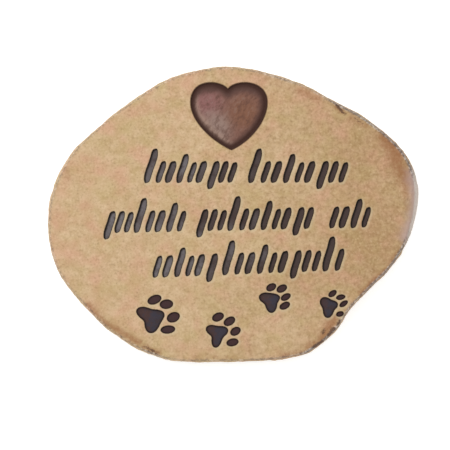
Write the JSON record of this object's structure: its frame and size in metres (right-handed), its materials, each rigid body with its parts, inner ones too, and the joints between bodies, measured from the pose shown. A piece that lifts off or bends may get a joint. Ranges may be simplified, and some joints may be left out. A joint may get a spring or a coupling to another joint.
{
  "type": "pet memorial stone",
  "caption": "Flat, irregular rounded slab of cast stone with a pillowed heart, rows of pen-like strokes and a trail of paw prints sunk into its face.",
  "frame": {"origin": "middle of the slab's outline, on its flat back, which is the surface that it lies on", "axes": "+X along the slab's length, to the right of the carved face; +Y up the face, towards the heart; +Z out of the face"},
  "size_m": [0.292, 0.2328, 0.025],
  "materials": {
    "cast_stone": "matte"
  },
  "bodies": {
    "root": {"stone": "cast_stone"}
  },
  "joints": []
}
